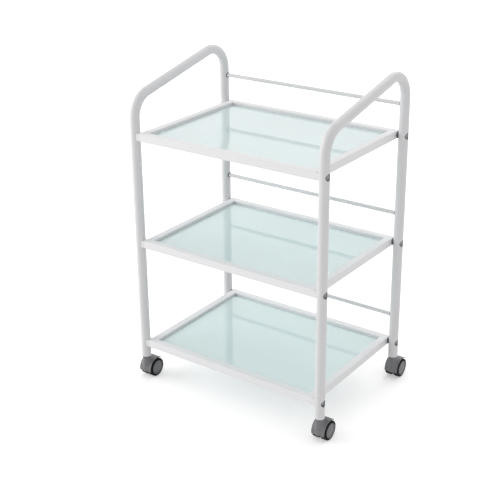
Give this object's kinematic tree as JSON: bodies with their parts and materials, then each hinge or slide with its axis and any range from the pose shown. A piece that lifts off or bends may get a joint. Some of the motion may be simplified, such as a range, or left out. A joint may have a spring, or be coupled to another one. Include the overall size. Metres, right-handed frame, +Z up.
{
  "type": "rolling salon trolley",
  "caption": "Rolling salon trolley with bent-tube side frames rising into handles, framed frosted glass shelves, back rails and hooded twin-wheel swivel casters.",
  "frame": {"origin": "on the floor, midway between the four legs", "axes": "+X along the shelves to the right, -Y towards the user at the front, +Z up"},
  "size_m": [0.5842, 0.4291, 0.8458],
  "materials": {
    "white_paint": "gloss white powder coat",
    "frosted_glass": "pale aqua frosted glass with a glossy top",
    "clear_pads": "soft pale pads",
    "zinc_steel": "zinc plated",
    "white_plastic": "moulded, satin white",
    "dark_plastic": "moulded, matte",
    "cap_plastic": "moulded, satin",
    "socket_plastic": "moulded, matte",
    "caster_plastic": "moulded, satin grey",
    "caster_tread": "soft, matte black"
  },
  "bodies": {
    "trolley_frame": {"left_side_frame": "white_paint", "right_side_frame": "white_paint", "bottom_shelf_frame": "white_paint", "bottom_corner_plates": "white_paint", "bottom_glass": "frosted_glass", "bottom_back_rail": "white_paint", "middle_shelf_frame": "white_paint", "middle_corner_plates": "white_paint", "middle_glass": "frosted_glass", "middle_back_rail": "white_paint", "top_shelf_frame": "white_paint", "top_corner_plates": "white_paint", "top_glass": "frosted_glass", "top_back_rail": "white_paint", "glass_pads": "clear_pads", "shelf_bolts": "zinc_steel", "rivet_nuts": "zinc_steel", "front_saddle_blocks": "white_plastic", "rear_saddle_spacers": "dark_plastic", "bolt_caps": "cap_plastic", "rail_grommets": "dark_plastic", "front_left_socket": "socket_plastic", "front_right_socket": "socket_plastic", "rear_left_socket": "socket_plastic", "rear_right_socket": "socket_plastic"},
    "front_left_caster": {"front_left_hood": "caster_plastic", "front_left_stem": "zinc_steel", "front_left_axle": "zinc_steel"},
    "front_left_outer_roller": {"front_left_outer_wheel": "caster_plastic", "front_left_outer_tread": "caster_tread"},
    "front_left_inner_roller": {"front_left_inner_wheel": "caster_plastic", "front_left_inner_tread": "caster_tread"},
    "front_right_caster": {"front_right_hood": "caster_plastic", "front_right_stem": "zinc_steel", "front_right_axle": "zinc_steel"},
    "front_right_outer_roller": {"front_right_outer_wheel": "caster_plastic", "front_right_outer_tread": "caster_tread"},
    "front_right_inner_roller": {"front_right_inner_wheel": "caster_plastic", "front_right_inner_tread": "caster_tread"},
    "rear_left_caster": {"rear_left_hood": "caster_plastic", "rear_left_stem": "zinc_steel", "rear_left_axle": "zinc_steel"},
    "rear_left_outer_roller": {"rear_left_outer_wheel": "caster_plastic", "rear_left_outer_tread": "caster_tread"},
    "rear_left_inner_roller": {"rear_left_inner_wheel": "caster_plastic", "rear_left_inner_tread": "caster_tread"},
    "rear_right_caster": {"rear_right_hood": "caster_plastic", "rear_right_stem": "zinc_steel", "rear_right_axle": "zinc_steel"},
    "rear_right_outer_roller": {"rear_right_outer_wheel": "caster_plastic", "rear_right_outer_tread": "caster_tread"},
    "rear_right_inner_roller": {"rear_right_inner_wheel": "caster_plastic", "rear_right_inner_tread": "caster_tread"}
  },
  "joints": [
    {"name": "front_left_swivel", "type": "hinge", "parent": "trolley_frame", "child": "front_left_caster", "pos_m": [-0.2715, -0.184, 0.0659], "axis": [0, 0, 1], "continuous": true},
    {"name": "front_left_outer_spin", "type": "hinge", "parent": "front_left_caster", "child": "front_left_outer_roller", "pos_m": [-0.2715, -0.164, 0.025], "axis": [1, 0, 0], "continuous": true},
    {"name": "front_left_inner_spin", "type": "hinge", "parent": "front_left_caster", "child": "front_left_inner_roller", "pos_m": [-0.2715, -0.164, 0.025], "axis": [1, 0, 0], "continuous": true},
    {"name": "front_right_swivel", "type": "hinge", "parent": "trolley_frame", "child": "front_right_caster", "pos_m": [0.2715, -0.184, 0.0659], "axis": [0, 0, 1], "continuous": true},
    {"name": "front_right_outer_spin", "type": "hinge", "parent": "front_right_caster", "child": "front_right_outer_roller", "pos_m": [0.2715, -0.164, 0.025], "axis": [1, 0, 0], "continuous": true},
    {"name": "front_right_inner_spin", "type": "hinge", "parent": "front_right_caster", "child": "front_right_inner_roller", "pos_m": [0.2715, -0.164, 0.025], "axis": [1, 0, 0], "continuous": true},
    {"name": "rear_left_swivel", "type": "hinge", "parent": "trolley_frame", "child": "rear_left_caster", "pos_m": [-0.2715, 0.184, 0.0659], "axis": [0, 0, 1], "continuous": true},
    {"name": "rear_left_outer_spin", "type": "hinge", "parent": "rear_left_caster", "child": "rear_left_outer_roller", "pos_m": [-0.2715, 0.204, 0.025], "axis": [1, 0, 0], "continuous": true},
    {"name": "rear_left_inner_spin", "type": "hinge", "parent": "rear_left_caster", "child": "rear_left_inner_roller", "pos_m": [-0.2715, 0.204, 0.025], "axis": [1, 0, 0], "continuous": true},
    {"name": "rear_right_swivel", "type": "hinge", "parent": "trolley_frame", "child": "rear_right_caster", "pos_m": [0.2715, 0.184, 0.0659], "axis": [0, 0, 1], "continuous": true},
    {"name": "rear_right_outer_spin", "type": "hinge", "parent": "rear_right_caster", "child": "rear_right_outer_roller", "pos_m": [0.2715, 0.204, 0.025], "axis": [1, 0, 0], "continuous": true},
    {"name": "rear_right_inner_spin", "type": "hinge", "parent": "rear_right_caster", "child": "rear_right_inner_roller", "pos_m": [0.2715, 0.204, 0.025], "axis": [1, 0, 0], "continuous": true}
  ]
}
